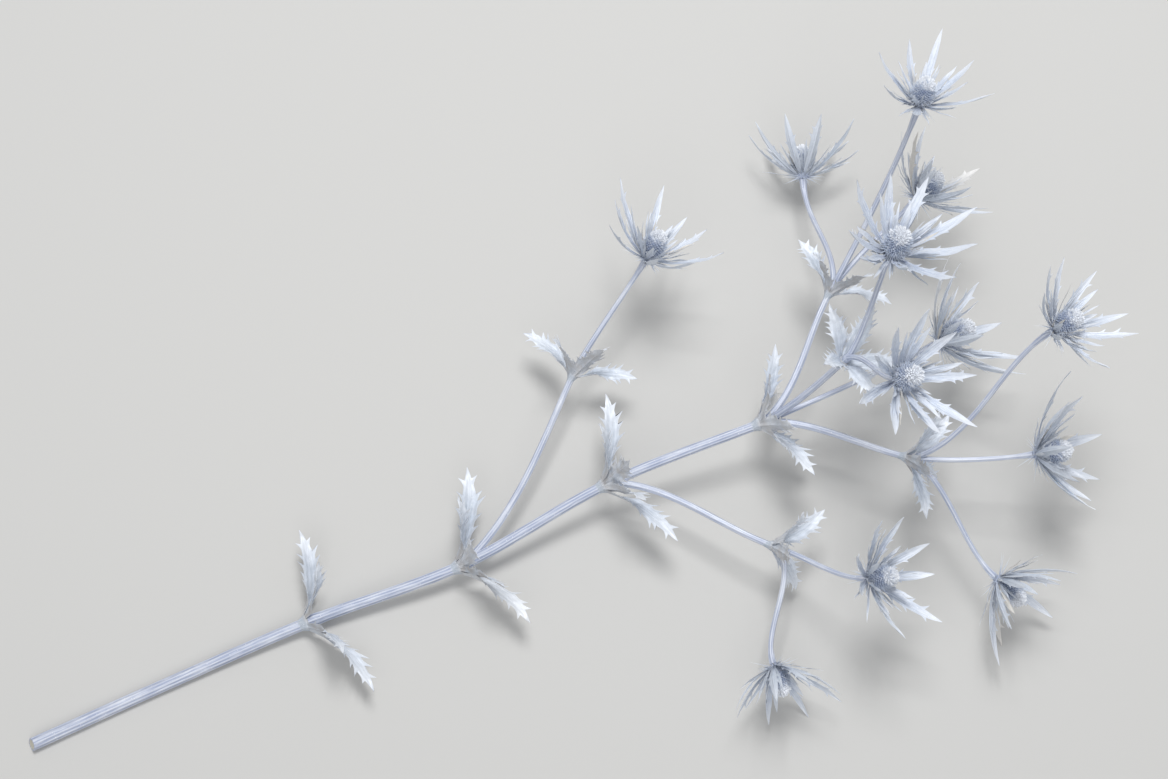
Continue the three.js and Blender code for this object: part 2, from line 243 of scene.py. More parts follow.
class SEAHOLLY_PG_leaf(PropertyGroup):
    lobe_thickness: a_length("Lobe thickness", "Thickness along the midrib", 0.65)
    lobe_teeth: a_count("Lobe teeth", "Spiny teeth on each side", 6)
    tooth_reach: a_length("Tooth reach", "How far a lobe's teeth stand out", 3.2)
    pucker: a_length("Pucker", "How far the blade rises between its veins", 0.28)


class SEAHOLLY_PG_stem(PropertyGroup):
    ribs: a_count("Stem ribs", "Ribs round the main stem", 10)
    groove: a_share("Groove depth", "Depth of the grooves as a share of the radius", 0.13)
    swelling: a_share("Joint swelling", "How much thicker a joint is than the stem", 0.24)


class SEAHOLLY_PG_finish(PropertyGroup):
    # Shade is paint where it is thin and also painted shade: at the feet of blades and florets,
    # between the veins and in the stem's grooves.
    shade: a_colour("Shade", "Paint where it is thin", (0.30, 0.35, 0.50))
    body: a_colour("Body", "Paint over most of a blade", (0.66, 0.73, 0.84))
    light: a_colour("Light", "Paint at tips and margins", (0.835, 0.862, 0.91))
    under: a_colour("Underside", "Thinly sprayed underside", (0.48, 0.54, 0.62))
    stalk: a_colour("Stalk", "Paint on the stem's ribs", (0.51, 0.55, 0.67))
    cream: a_colour("Cream", "Crown of a cone", (0.94, 0.96, 1.0))
    leaf_under: a_colour("Leaf underside", "Plant showing under a leaf", (0.42, 0.40, 0.385))
    # Leaf shade is the same on the leaves: thin paint, and painted shade at their feet and between
    # their veins.
    leaf_shade: a_colour("Leaf shade", "Paint where it is thin on a leaf", (0.33, 0.385, 0.45))
    # Painted shade on the cone's core, where it shows between the florets.
    gap_shade: a_colour("Hollow", "Dusk between the florets of a cone", (0.25, 0.295, 0.41))
    dry: a_colour("Dry", "Withered blade that the paint hardly covers", (0.78, 0.71, 0.59))
    pith: a_colour("Pith", "Pale heart of the cut end", (0.68, 0.65, 0.53))
    roughness: a_share("Roughness", "Roughness of the paint", 0.48)


class SEAHOLLY_PG_stage(PropertyGroup):
    floor: a_colour("Floor", "Colour of the table", (0.585, 0.58, 0.565))
    azimuth: an_angle("Azimuth", "Way round from which the camera looks", 65)
    elevation: an_angle("Elevation", "Angle of the camera above the table", 72)
    lens: FloatProperty(
        name="Focal length", description="Focal length of the camera", default=85, min=1,
        unit="CAMERA",
    )
    fill: a_share("Fill", "Share of the picture that the stem spans", 0.95)


# ---------------------------------------------------------------- growth


class Draws:
    """Even draws from 0 to 1, the same for the same seed, here and in the solids."""

    def __init__(self, seed):
        self.state = seed * 7919 + 13

    def next(self):
        self.state = (self.state * 16807) % 2147483647
        return self.state / 2147483647

    def spread(self, width, middle=0.5):
        return width * (self.next() - middle)


def heading(yaw, pitch):
    """The way something points: yaw from +Y towards +X, pitch above level."""
    y, p = math.radians(yaw), math.radians(pitch)
    return Vector((math.sin(y) * math.cos(p), math.cos(y) * math.cos(p), math.sin(p)))


def values_of(items, name, kind, width=1):
    """One property of all of a mesh's items as an array."""
    values = np.empty(len(items) * width, kind)
    items.foreach_get(name, values)
    return values


def places_of(obj):
    """An object's vertices as rows of an array."""
    return values_of(obj.data.vertices, "co", float, 3).reshape(-1, 3)


def cone_foot(name, along):
    """Where a head sits: the lowest point of its cone along its growth, less the gap under it."""
    points = places_of(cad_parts[f"{name}_cone"])
    foot = Vector(points[np.argmin(points @ np.array(along))])
    return foot - along * GAP * MM


def axis_places():
    """Where the main stem passes, in metres."""
    rest_height = STEM_RADIUS[0] * math.cos(math.pi / STEM_SIDES)
    places = [Vector((*p, rest_height)) if len(p) == 2 else Vector(p) for p in AXIS.values()]
    return [p * MM - ORIGIN for p in places]


ORIGIN = Vector(HEAD_1_PLACE) * MM - cone_foot("head_1", heading(*HEADS["head_1"][1:3]))


class Route:
    """A smooth line from part to part of the plant: place(t) and along(t) for t from 0 to 1."""

    def __init__(self, corners):
        self.corners = corners  # four handles for each stretch

    @classmethod
    def through(cls, places):
        """A line through places that leaves each one in line with its neighbours."""
        ahead = [places[1] - places[0]]
        ahead += [(b - a) / 2 for a, b in zip(places, places[2:])]
        ahead += [places[-1] - places[-2]]
        stretches = zip(places, ahead, places[1:], ahead[1:])
        return cls([(a, a + da / 3, b - db / 3, b) for a, da, b, db in stretches])

    @classmethod
    def grown(cls, joint, place, along):
        """A branch: it leaves its parent's direction little by little and ends along its own."""
        span = place - joint["place"]
        leave = (joint["along"] * 0.9 + span.normalized()).normalized()
        third = span.length / 3
        return cls([(joint["place"], joint["place"] + leave * third, place - along * third, place)])

    def _stretch(self, t):
        scaled = min(max(t, 0.0), 1.0) * len(self.corners)
        index = min(int(scaled), len(self.corners) - 1)
        return self.corners[index], scaled - index

    def place(self, t):
        (a, b, c, d), s = self._stretch(t)
        r = 1 - s
        return a * r**3 + b * 3 * r * r * s + c * 3 * r * s * s + d * s**3

    def along(self, t):
        (a, b, c, d), s = self._stretch(t)
        r = 1 - s
        return ((b - a) * r * r + (c - b) * 2 * r * s + (d - c) * s * s).normalized()


def grown_plant():
    """The routes of the stem and the joints and heads that they lead to."""
    axis = Route.through(axis_places())
    joints, routes, heads = {}, {}, {}
    for i, name in enumerate(AXIS):
        t = i / (len(AXIS) - 1)
        radius = STEM_RADIUS[0] + (STEM_RADIUS[1] - STEM_RADIUS[0]) * t
        place, along = axis.place(t), axis.along(t)
        joints[name] = {"place": place, "along": along, "radius": radius * MM, "size": 1}
    for name, (start, to, yaw, pitch) in BRANCHES.items():
        place, along = Vector(to) * MM - ORIGIN, heading(yaw, pitch)
        routes[name] = Route.grown(joints[start], place, along)
        radius = BRANCH_RADIUS[1]
        joints[name] = {"place": place, "along": along, "radius": radius * MM, "size": 1}
    for name, (start, yaw, pitch, size, spin) in HEADS.items():
        along = heading(yaw, pitch)
        place = cone_foot(name, along)
        under = place - along * (CUP_HEIGHT * size + GAP) * MM
        routes[name] = Route.grown(joints[start], under, along)
        heads[name] = {"place": place, "along": along, "size": size, "spin": math.radians(spin)}
    return axis, routes, joints, heads


# ---------------------------------------------------------------- modelling


class Form:
    """A shape modelled once and then copied: its vertices, faces and marks as arrays."""

    def __init__(self, obj, kind=None, **marks):
        mesh = obj.data
        self.kind = kind  # a blade's table of sizes
        self.co = places_of(obj)
        self.loops = values_of(mesh.loops, "vertex_index", int)
        self.sizes = values_of(mesh.polygons, "loop_total", int)
        self.marks = marks
        bpy.data.objects.remove(obj)
        bpy.data.meshes.remove(mesh)


class Gathered:
    """Copies of forms that make up one piece."""

    def __init__(self):
        self.co, self.loops, self.sizes, self.grain, self.count = [], [], [], [], 0
        self.marks = {name: [] for name in BLADE_MARKS}

    def add(self, form, co, grain, **marks):
        """A copy of form at co, with marks for the paint. grain runs along the copy, in metres."""
        self.co.append(co)
        self.loops.append(form.loops + self.count)
        self.sizes.append(form.sizes)
        self.grain.append(grain)
        for name in BLADE_MARKS:
            value = marks.get(name, form.marks.get(name, 0.0))
            self.marks[name].append(np.broadcast_to(value, len(co)))
        self.count += len(co)

    def add_blade(self, form, blade, bearer, chance, white=0.0):
        """A copy of a blade, bent and borne by a joint or head. The nearer white is to 1, the
        whiter it is. Each has a depth of its own in the noise."""
        local = bent(form, blade, chance)
        grain = form.co * (1, 1, 0) + (0, 0, chance.uniform(0, 1))
        self.add(form, seated(local, bearer), grain, tone=chance.uniform(white, 1))

    def piece(self, name, finish, node, smooth=45):
        """One mesh of all the copies, riding on the body in the place of a CAD node."""
        co, loops, sizes = (np.concatenate(parts) for parts in (self.co, self.loops, self.sizes))
        co[:, 2] = np.maximum(co[:, 2], 0)  # what touches the table lies on it
        mesh = bpy.data.meshes.new(name)
        mesh.vertices.add(len(co))
        mesh.vertices.foreach_set("co", co.ravel())
        mesh.loops.add(len(loops))
        mesh.loops.foreach_set("vertex_index", loops)
        mesh.polygons.add(len(sizes))
        mesh.polygons.foreach_set("loop_start", np.concatenate(([0], np.cumsum(sizes)[:-1])))
        mesh.polygons.foreach_set("loop_total", sizes)
        mesh.update(calc_edges=True)
        for mark, values in self.marks.items():
            layer = mesh.attributes.new(mark, "FLOAT", "POINT")
            layer.data.foreach_set("value", np.concatenate(values).astype(np.float32))
        layer = mesh.attributes.new("grain", "FLOAT_VECTOR", "POINT")
        layer.data.foreach_set("vector", np.concatenate(self.grain).astype(np.float32).ravel())
        obj = linked(name, mesh)
        only(obj)
        bpy.ops.object.shade_smooth_by_angle(angle=math.radians(smooth))
        mesh.materials.append(finish)
        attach(obj, "root")
        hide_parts(node)


def linked(name, data):
    """A new object in the scene."""
    obj = bpy.data.objects.new(name, data)
    bpy.context.scene.collection.objects.link(obj)
    return obj


def only(obj):
    """Selects one object and nothing else."""
    bpy.ops.object.select_all(action="DESELECT")
    obj.select_set(True)
    bpy.context.view_layer.objects.active = obj


def primitive(add, **settings):
    """A new primitive with nothing else selected."""
    bpy.ops.object.select_all(action="DESELECT")
    add(**settings)
    return bpy.context.object


@contextmanager
def shaping():
    """Edit mode with all of the active object selected. It ends with every face turned outwards."""
    bpy.ops.object.mode_set(mode="EDIT")
    bpy.ops.mesh.select_all(action="SELECT")
    yield
    bpy.ops.mesh.select_all(action="SELECT")
    bpy.ops.mesh.normals_make_consistent(inside=False)
    bpy.ops.object.mode_set(mode="OBJECT")


def drawn_out(rise, widen=1):
    """Extrudes what is selected along Z and scales its end."""
    bpy.ops.mesh.extrude_region_move(TRANSFORM_OT_translate={"value": (0, 0, rise)})
    bpy.ops.transform.resize(value=(widen, widen, 1))


def picked(obj, kind, wanted):
    """Edit mode with only the wanted edges or faces selected."""
    bpy.ops.object.mode_set(mode="EDIT")
    bpy.ops.mesh.select_mode(type=kind)
    bpy.ops.mesh.select_all(action="DESELECT")
    bpy.ops.object.mode_set(mode="OBJECT")
    for item in obj.data.edges if kind == "EDGE" else obj.data.polygons:
        item.select = wanted(item)
    bpy.ops.object.mode_set(mode="EDIT")


def turned(profile, sides):
    """A closed solid of revolution round Z from a profile of (radius, height)."""
    mesh = bpy.data.meshes.new("profile")
    edges = [(i, i + 1) for i in range(len(profile) - 1)]
    mesh.from_pydata([(r, 0, z) for r, z in profile], edges, [])
    obj = linked("profile", mesh)
    only(obj)
    with shaping():
        bpy.ops.mesh.spin(steps=sides, angle=TURN, center=(0, 0, 0), axis=(0, 0, 1))
        bpy.ops.mesh.select_all(action="SELECT")
        bpy.ops.mesh.remove_doubles(threshold=0.01 * MM)
    return Form(obj)


def in_metres(profile):
    return [(r * MM, z * MM) for r, z in profile]


def spike_form(sides, rings):
    """A spike of unit length and unit foot radius along Z, drawn out of a disc ring by ring."""
    obj = primitive(bpy.ops.mesh.primitive_circle_add, vertices=sides, radius=1, fill_type="NGON")
    step = 1 / rings
    with shaping():
        for ring in range(rings - 1):
            drawn_out(step, (rings - ring - 1) / (rings - ring))
        drawn_out(step)
        bpy.ops.mesh.merge(type="CENTER")
    form = Form(obj)
    form.marks["along"] = form.co[:, 2].copy()
    return form


def floret_form():
    """A floret of unit size: a swollen cup whose rim opens in five points."""
    add = bpy.ops.mesh.primitive_circle_add
    obj = primitive(add, vertices=FLORET["sides"], radius=0.55, fill_type="NGON")
    with shaping():
        for rise, widen in ((0.5, 1.75), (0.55, 0.82), (-0.3, 0.35)):
            drawn_out(rise, widen)
    form = Form(obj)
    x, y, z = form.co.T
    corner = np.round(np.arctan2(y, x) / (TURN / FLORET["sides"])).astype(int)
    points = (z > 1.0) & (corner % 2 == 0)
    form.co[points] *= (0.95, 0.95, 1.75)
    form.marks["along"] = np.clip(form.co[:, 2] / 1.4, 0, 1)
    return form


def bract_outline(s):
    """Half the width at a share of the length, as a share of the full width."""
    return 0.02 + 0.16 * (1 - s) + 0.42 * np.sin(math.pi * np.clip(s, 0, 1) ** 1.32) ** 0.9


def lobe_outline(s):
    """The same for a lobe, which is wider at its foot."""
    return 0.015 + 0.205 * (1 - s) + 0.38 * np.sin(math.pi * s**0.9)


def blade_form(kind, outline, thickness, teeth, reach, grid, pucker, seed):
    """A blade laid flat, foot at the origin and tip along Y, in metres. Its teeth stand between
    two shares of its length: they are drawn out of the margins and lead forward. Each vertex is
    marked with how far along and how near a margin it is, and whether it is on the underside."""
    draw = np.random.default_rng(seed)
    length, width = kind["length"] * MM, kind["width"] * MM
    columns, rows = grid
    add = bpy.ops.mesh.primitive_grid_add
    obj = primitive(add, x_subdivisions=columns, y_subdivisions=rows, size=1)
    co = places_of(obj)
    side, s = np.sign(co[:, 0]), co[:, 1] + 0.5
    edge = np.abs(2 * co[:, 0])
    across = edge * outline(s) * width
    lead = np.zeros_like(s)
    pull = edge ** TOOTH["pull"]
    count, first, last = teeth
    for way in (-1, 1):
        marks = (np.arange(count) + draw.uniform(0.2, 0.8, count)) / max(count, 1)
        for mark in first + (last - first) * marks:
            at = round(mark * rows) / rows
            grow = draw.uniform(0.75, 1.2) * (1.1 - 0.5 * abs(mark - 0.5))
            back = (s - at) * rows  # rows ahead of the tooth's point
            ramp = np.clip(1 + back / TOOTH["rows"], 0, 1) ** TOOTH["power"] * (back <= 0.01)
            jut = reach * grow * ramp * pull * (side == way)
            across += jut
            lead += TOOTH["lead"] * jut
    lift = kind["fold"] * (np.sqrt(across**2 + (0.35 * MM) ** 2) - 0.35 * MM)
    y = s * length
    ripple = np.sin(TURN * (y - 1.25 * across) / (RIPPLE * MM))
    lift += pucker * ripple * np.clip(1.6 * edge * (1.25 - edge), 0, 1)
    lift -= 0.5 * pucker * np.exp(-((across / (0.45 * MM)) ** 2))
    flat = np.stack([side * across, y + lead * (s < 0.97), lift], axis=1)
    obj.data.vertices.foreach_set("co", flat.ravel())

    thin = 0.26 + 0.74 * np.exp(-((across / (MIDRIB * MM)) ** 2)) * (1 - 0.55 * s)
    thin *= 1 - 0.8 * s**8
    body = obj.vertex_groups.new(name="body")
    for i, weight in enumerate(thin):
        body.add([i], float(weight), "REPLACE")
    modifier = obj.modifiers.new("thickness", "SOLIDIFY")
    modifier.thickness = thickness
    modifier.offset = -1
    modifier.vertex_group = "body"
    only(obj)
    bpy.ops.object.modifier_apply(modifier=modifier.name)
    under = np.repeat([0.0, 1.0], len(s))
    return Form(obj, kind, along=np.tile(s, 2), edge=np.tile(edge, 2), under=under)


def bent(form, blade, chance):
    """A flat blade's vertices in the frame of what bears it: Z along the growth, X out at the
    blade, in metres. It rises from one angle to another, twists, and its margins wave."""
    height, phase = chance.uniform(*form.kind["wave"]) * MM, chance.uniform(0, TURN)
    scale = blade["width"] / form.kind["width"]
    x, y, lift = form.co.T
    s = y / (form.kind["length"] * MM)
    x = -x * scale  # Y leads outwards and X aside, so that the faces still point out
    lift = lift * scale + height * form.marks["edge"] ** 2 * np.sin(TURN * WAVES * s + phase)
    start, bend = math.radians(blade["rise"]), math.radians(blade["tip"] - blade["rise"]) or 1e-4
    a = start + bend * s
    length = blade["length"] * MM
    out = blade["root"] * MM + length * (np.sin(a) - math.sin(start)) / bend
    up = blade["foot"] * MM + length * (math.cos(start) - np.cos(a)) / bend
    c, t = np.cos(blade["twist"] * s), np.sin(blade["twist"] * s)
    wide, high = x * c - lift * t, x * t + lift * c
    local = np.stack([out - high * np.sin(a), wide, up + high * np.cos(a)], axis=1)
    return spun(local, blade["around"])


def spun(co, angle):
    """Points turned round Z."""
    c, s = math.cos(angle), math.sin(angle)
    return co @ np.array([[c, s, 0], [-s, c, 0], [0, 0, 1]])


def seated(co, bearer):
    """Points around a joint or head, with Z along its growth, brought to its place and size."""
    along = bearer["along"]
    left = Vector((0, 0, 1)).cross(along).normalized()
    axes = np.array(Matrix((left, along.cross(left), along)))
    return (co * bearer["size"]) @ axes + np.array(bearer["place"])


def one_of(kind, draw, **own):
    """One blade of a kind, a little unlike the others, by the same draws as its solid."""
    vary = kind["vary"]
    lean = draw.spread(vary["lean"])
    width = own.pop("width", kind["width"]) * (1 + draw.spread(vary["width"]))
    tip = kind["tip"] + lean + draw.spread(vary["curl"])
    twist = own.pop("twist", 0.0) + draw.spread(vary["twist"])
    return {**kind, **own, "width": width, "rise": kind["rise"] + lean, "tip": tip, "twist": twist}


def needle(form, length, radius, root, foot, rise, around, sag):
    """A spike's vertices in the frame of what bears it. Its tip droops by sag."""
    x, y, z = form.co.T
    a = math.radians(rise)
    reach = z * length
    lift = x * radius - sag * z**2
    out = root + reach * math.cos(a) - lift * math.sin(a)
    up = foot + reach * math.sin(a) + lift * math.cos(a)
    return spun(np.stack([out, -y * radius, up], axis=1), around)


# ---------------------------------------------------------------- finishes


class Paint:
    """Nodes of one sprayed finish, laid on from the first colour up. The scale of a noise is how
    many times it changes in a metre."""

    def __init__(self, name, colour):
        self.material = bpy.data.materials.new(name)
        self.material.use_nodes = True
        self.tree = self.material.node_tree
        self.shader = self.tree.nodes["Principled BSDF"]
        self.colour = colour

    def node(self, kind, **settings):
        made = self.tree.nodes.new(kind)
        for key, value in settings.items():
            if key in made.inputs:
                made.inputs[key].default_value = value
            else:
                setattr(made, key, value)
        return made

    def put(self, value, socket):
        """A socket's value: a number, a colour or what another socket gives."""
        if isinstance(value, bpy.types.NodeSocket):
            self.tree.links.new(value, socket)
        elif isinstance(value, (int, float)):
            socket.default_value = value
        else:
            socket.default_value = (*value, 1.0)

    def mark(self, name):
        return self.node("ShaderNodeAttribute", attribute_name=name).outputs["Fac"]

    def grain(self, squeeze):
        """The place along a copy, squeezed so that noise on it runs in streaks."""
        mapping = self.node("ShaderNodeMapping", Scale=(1, squeeze, 1))
        source = self.node("ShaderNodeAttribute", attribute_name="grain").outputs["Vector"]
        self.put(source, mapping.inputs["Vector"])
        return mapping.outputs["Vector"]

    def place(self):
        return self.node("ShaderNodeTexCoord").outputs["Object"]

    def noise(self, vector, scale, detail=3.0):
        made = self.node("ShaderNodeTexNoise", Scale=scale, Detail=detail, Roughness=0.55)
        self.put(vector, made.inputs["Vector"])
        return made.outputs["Fac"]

    def ranged(self, value, low, high, least=0.0, most=1.0):
        """Least where a value is low, most where it is high, and a smooth climb between."""
        made = self.node("ShaderNodeMapRange", interpolation_type="SMOOTHSTEP")
        sockets = ("Value", "From Min", "From Max", "To Min", "To Max")
        for socket, given in zip(sockets, (value, low, high, least, most)):
            self.put(given, made.inputs[socket])
        return made.outputs["Result"]

    def math(self, operation, a, b):
        made = self.node("ShaderNodeMath", operation=operation)
        self.put(a, made.inputs[0])
        self.put(b, made.inputs[1])
        return made.outputs["Value"]

    def mixed(self, share, first, second):
        """Two colours mixed by a share of the second."""
        made = self.node("ShaderNodeMix", data_type="RGBA")
        sockets = (made.inputs["Factor"], made.inputs[6], made.inputs[7])  # the last are colours
        for socket, value in zip(sockets, (share, first, second)):
            self.put(value, socket)
        return made.outputs[2]

    def lay(self, colour, share, *limits):
        """Lays a colour over the ones before by a share, which limits may range first."""
        share = self.ranged(share, *limits) if limits else share
        self.colour = self.mixed(share, self.colour, colour)

    def drops(self, vector, scale, reach):
        """Dots of thicker paint, reach in metres: 1 in a dot, 0 around it."""
        made = self.node("ShaderNodeTexVoronoi", Scale=scale)
        self.put(vector, made.inputs["Vector"])
        return self.ranged(made.outputs["Distance"], 0.55 * reach * scale, reach * scale, 1, 0)

    def ribs(self, edge, count):
        """Veins that keep about their share of the way from midrib to margin: 1 on a vein."""
        drift = self.ranged(self.noise(self.grain(0.2), 240, detail=1), 0.3, 0.7, -0.07, 0.07)
        turns = self.math("MULTIPLY", self.math("ADD", edge, drift), TURN * count)
        swing = self.math("COSINE", turns, 0.0)
        level = self.math("ADD", self.math("MULTIPLY", swing, 0.5), 0.5)
        return self.math("POWER", level, 2.0)

    def bump(self, height, distance, strength, normal=None):
        made = self.node("ShaderNodeBump", Strength=strength, Distance=distance)
        self.put(height, made.inputs["Height"])
        if normal is not None:
            self.put(normal, made.inputs["Normal"])
        return made.outputs["Normal"]

    def sprayed(self, streaks, roughness, metallic=0.08, rise=0.2 * MM, clean=0.0):
        """Finishes the shader: fine paint grain, streaks along the growth, a satin sheen, and drops
        of thicker paint except where it is clean."""
        place = self.place()
        specks = self.noise(place, 1500, detail=2)
        cloud = self.noise(place, 55, detail=4)
        self.lay(GRIT_COLOUR, specks, 0.62, 0.78, 0, 0.35)
        strength = self.math("SUBTRACT", 0.8, clean)
        drops = self.math("MULTIPLY", self.drops(place, 400, 0.3 * MM), strength)
        self.lay(DROP_COLOUR, drops)
        fine = self.bump(specks, 0.05 * MM, 0.5)
        thick = self.bump(drops, 0.09 * MM, 0.7, fine)
        self.put(self.colour, self.shader.inputs["Base Color"])
        gloss = self.ranged(cloud, 0.35, 0.7, roughness - 0.08, roughness + 0.1)
        self.put(gloss, self.shader.inputs["Roughness"])
        self.put(metallic, self.shader.inputs["Metallic"])
        self.put(self.bump(streaks, rise, 0.8, thick), self.shader.inputs["Normal"])
        return self.material


def blade_paint(name, finish, shade, below, veins, depth, bare_below, thin_and_shaded_at_foot):
    """Paint on a blade: thin and blue at its foot, with painted shade there too and between its
    veins, whiter along margins and tip, greener below.
    """
    paint = Paint(name, finish.body)
    along, edge, under, tone = (paint.mark(mark) for mark in BLADE_MARKS)
    streaks = paint.noise(paint.grain(0.12), 1900)
    cloud = paint.noise(paint.place(), 90, detail=4)
    ribs = paint.ribs(edge, veins)
    # Darker towards the foot: thin paint, and painted shade deep in the ruffs and whorls.
    paint.lay(shade, along, 0.0, 0.45, thin_and_shaded_at_foot, 0)
    # Painted shade between the raised veins, as deep as the depth.
    paint.lay(shade, ribs, 0.0, 0.75, depth, 0)
    paint.lay(shade, streaks, 0.3, 0.5, 0.3, 0.0)
    paint.lay(finish.light, streaks, 0.45, 0.7, 0.0, 0.5)
    paint.lay(shade, cloud, 0.5, 0.75, 0, 0.35)
    at_tip = paint.ranged(along, 0.45, 0.95, 0, 0.72)
    at_margin = paint.ranged(edge, 0.6, 1.0, 0, 0.45)
    paint.lay(finish.light, paint.math("MAXIMUM", at_tip, at_margin))
    missed = paint.ranged(paint.noise(paint.place(), 150, detail=4), 0.35, 0.65, 0.3, bare_below)
    paint.lay(below, paint.math("MULTIPLY", under, missed))
    paint.lay(finish.light, paint.math("MULTIPLY", tone, 0.35))
    paint.lay(finish.dry, tone, 0.965, 0.985, 0, 0.6)
    flatter = paint.ranged(along, 0.5, 0.95, 1, 0.2)
    height = paint.math("MULTIPLY", paint.math("ADD", streaks, ribs), flatter)
    return paint.sprayed(height, finish.roughness)


def stem_paint(finish):
    """Lilac paint on the ribs, thinner in the grooves and darker there with painted shade, and a
    pale heart where the stem is cut.
    """
    paint = Paint("stem_paint", finish.shade)
    edge, heart, tone = (paint.mark(mark) for mark in BLADE_MARKS[1:])
    streaks = paint.noise(paint.grain(0.05), 1500)
    cloud = paint.noise(paint.place(), 40, detail=4)
    # The grooves keep the shade colour: thinner paint and painted shade.
    paint.lay(finish.stalk, edge, 0.15, 0.9)
    paint.lay(finish.light, streaks, 0.4, 0.72, 0, 0.55)
    paint.lay(finish.light, cloud, 0.48, 0.72, 0, 0.4)
    paint.lay(finish.light, paint.math("MULTIPLY", tone, 0.6))
    pores = paint.ranged(paint.noise(paint.place(), 2600, detail=2), 0.4, 0.65, 0, 0.5)
    paint.lay(paint.mixed(pores, finish.pith, finish.leaf_under), heart)
    streaks = paint.math("MULTIPLY", streaks, paint.math("SUBTRACT", 1.0, heart))
    clean = paint.math("MULTIPLY", heart, 0.8)
    return paint.sprayed(streaks, finish.roughness - 0.04, clean=clean)


def cone_paint(finish):
    """Slate painted shade between the florets, at their feet and on the core, lighter on their
    points, and cream over the crown.
    """
    paint = Paint("cone_paint", finish.shade)
    along, crown, shaded_core, tone = (paint.mark(mark) for mark in BLADE_MARKS)
    streaks = paint.noise(paint.place(), 1100)
    # Florets and spikes keep the shade colour at their feet: painted shade between the florets.
    paint.lay(finish.body, along, 0.0, 0.8, 0.12, 0.98)
    paint.lay(finish.cream, crown, 0.0, 0.9)
    paint.lay(finish.light, tone, 0.3, 1.0, 0.0, 0.8)
    # Painted shade on the core where it shows between the florets; the crown's core stays cream.
    paint.lay(finish.gap_shade, shaded_core)
    return paint.sprayed(streaks, finish.roughness + 0.12, metallic=0.03, rise=0.12 * MM)


# ---------------------------------------------------------------- operators


class SEAHOLLY_OT_stem(Operator):
    """Grows the ribbed stem with its branches and stalks"""

    bl_idname = "seaholly.stem"
    bl_label = "Stem"

    def execute(self, context):
        settings, finish = context.scene.seaholly_stem, context.scene.seaholly_finish
        axis, routes, joints, heads = grown_plant()
        swollen = settings.swelling
        grown = Gathered()
        marks = [i / (len(AXIS) - 1) for i in range(2, len(AXIS))]

        def main_radius(t):
            offs = ((t - mark) * AXIS_LENGTH / (AXIS_SWELLING * MM) for mark in marks)
            swell = sum(math.exp(-(off**2)) for off in offs)
            base = STEM_RADIUS[0] + (STEM_RADIUS[1] - STEM_RADIUS[0]) * t
            return base * MM * (1 + swollen * swell)

        main_rod = {"ribs": settings.ribs, "groove": settings.groove, "sides": 40, "rings": 200}
        self.rod(grown, axis, main_radius, **main_rod, tone=0.1, cut=True)
        for name, route in routes.items():
            bears_head = name in HEADS
            first, last = STALK_RADIUS if bears_head else BRANCH_RADIUS

            def radius(t):
                flare = STALK_FLARE * max(0.0, 7 * t - 6) if bears_head else 0.0
                swell = swollen * math.exp(-((t / BRANCH_SWELLING) ** 2))
                if not bears_head:
                    swell += swollen * math.exp(-(((1 - t) / BRANCH_SWELLING) ** 2))
                return (first + (last - first) * t + flare) * MM * (1 + swell)

            self.rod(grown, route, radius, **(STALK_ROD if bears_head else BRANCH_ROD), tone=0.25)
        self.knobs(grown, joints, swollen)
        grown.piece("stem_ribbed", stem_paint(finish), "stem", smooth=50)
        return {"FINISHED"}

    def rod(self, grown, route, radius, ribs, groove, sides, rings, tone, cut=False):
        """Adds a ribbed rod along a route. A cut one leans at its foot and lies on the table."""
        form = self.rod_form(sides, rings, cut)
        x, y, z = form.co.T
        t = z + 0.5
        stations = np.linspace(0, 1, rings + 1)
        frames, normal = [], Vector((0, 0, 1))
        for station in stations:
            along = route.along(station)
            normal = (normal - along * normal.dot(along)).normalized()
            frames.append((route.place(station), normal, along.cross(normal), radius(station)))
        ring = np.rint(t * rings).astype(int)
        place, up, aside, size = (np.array(column)[ring] for column in zip(*frames))
        turn, reach = np.arctan2(y, x), np.hypot(x, y)
        ridge = 0.5 - 0.5 * np.cos(ribs * turn + RIB_TURN * t)
        girth = size * reach * (1 - groove * (1 - ridge) ** GROOVE_POWER)
        co = place + up * (girth * np.cos(turn))[:, None] + aside * (girth * np.sin(turn))[:, None]
        heart = np.zeros(len(co))
        if cut:
            foot = co[:, 1].min()
            near = np.clip(1 - (co[:, 1] - foot) / (CUT["reach"] * MM), 0, 1)
            co[:, 1] += CUT["lean"] * co[:, 2] * near**2
            co[:, 2] = np.maximum(co[:, 2], 0)
            heart = ((t == 0) & (reach < CUT["heart"])).astype(float)
        steps = zip(stations, stations[1:])
        length = sum((route.place(b) - route.place(a)).length for a, b in steps)
        grain = np.stack([np.cos(turn) * size, t * length, np.sin(turn) * size], axis=1)
        grain += (0.013 * grown.count % 1, 0, 0)  # so that no two rods have the same streaks
        # The ridge mark keeps the grooves darker in the paint, with painted shade.
        grown.add(form, co, grain, edge=ridge, under=heart, tone=tone)

    def knobs(self, grown, joints, swollen):
        """Rounds off each joint where a rod ends, between the branches that leave it."""
        form = turned(KNOB, 24)
        for name in ("fork", *BRANCHES):
            size = joints[name]["radius"] * (1 + swollen)
            co = form.co * size
            grown.add(form, seated(co, joints[name]), co, edge=0.6, tone=0.2)

    def rod_form(self, sides, rings, cut):
        """A unit cylinder with rings along it, whose foot is inset twice if it is cut."""
        add = bpy.ops.mesh.primitive_cylinder_add
        obj = primitive(add, vertices=sides, radius=1, depth=1, end_fill_type="NGON")

        def is_lengthwise(edge):
            a, b = (obj.data.vertices[i].co.z for i in edge.vertices)
            return abs(a - b) > 0.5

        picked(obj, "EDGE", is_lengthwise)
        bpy.ops.mesh.subdivide(number_cuts=rings - 1)
        if cut:
            picked(obj, "FACE", lambda face: face.center.z < -0.499)
            for rim in CUT["rims"]:
                bpy.ops.mesh.inset(thickness=rim)
            bpy.ops.mesh.poke()
        bpy.ops.object.mode_set(mode="OBJECT")
        return Form(obj)


